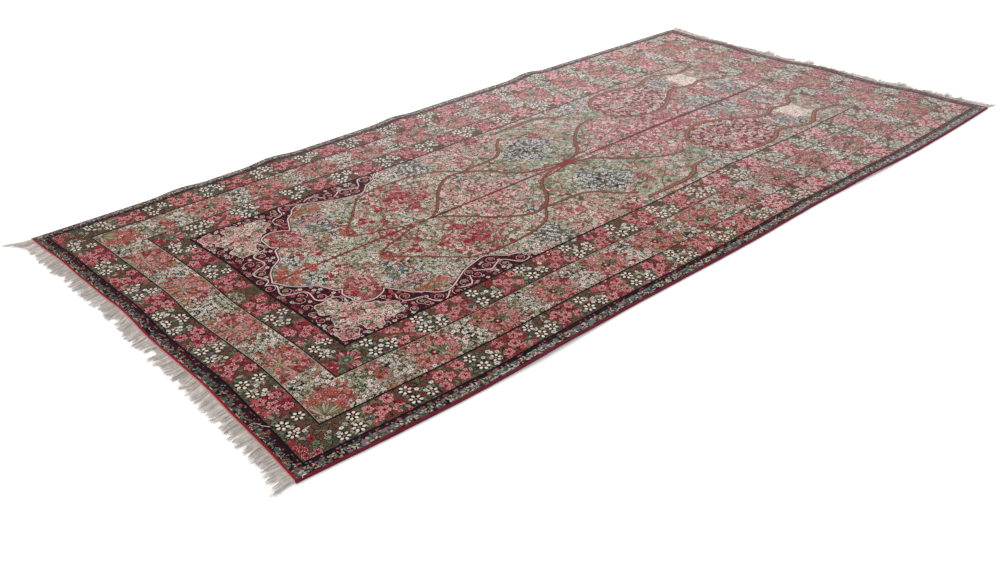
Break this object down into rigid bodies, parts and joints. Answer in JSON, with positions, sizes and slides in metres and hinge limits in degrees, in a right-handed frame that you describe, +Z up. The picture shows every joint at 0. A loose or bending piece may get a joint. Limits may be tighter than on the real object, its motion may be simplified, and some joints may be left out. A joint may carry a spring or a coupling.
{
  "type": "persian rug",
  "caption": "Hand-knotted wool floor rug lying flat, with a flowering tree field, flower borders, overcast long sides and a cotton warp fringe on each short end.",
  "frame": {"origin": "on the floor under the middle of the rug", "axes": "+Z up out of the pile, +Y along the rug towards the top of the tree, +X across it"},
  "size_m": [1.8887, 3.7433, 0.0214],
  "materials": {
    "pile": "short wool pile, knotted, matt",
    "selvedge": "overcast dark red wool",
    "fringe": "undyed cotton warps, aged"
  },
  "bodies": {
    "root": {"pile_cloth": "pile", "selvedge_left": "selvedge", "selvedge_right": "selvedge", "fringe_near": "fringe", "fringe_far": "fringe"}
  },
  "joints": []
}
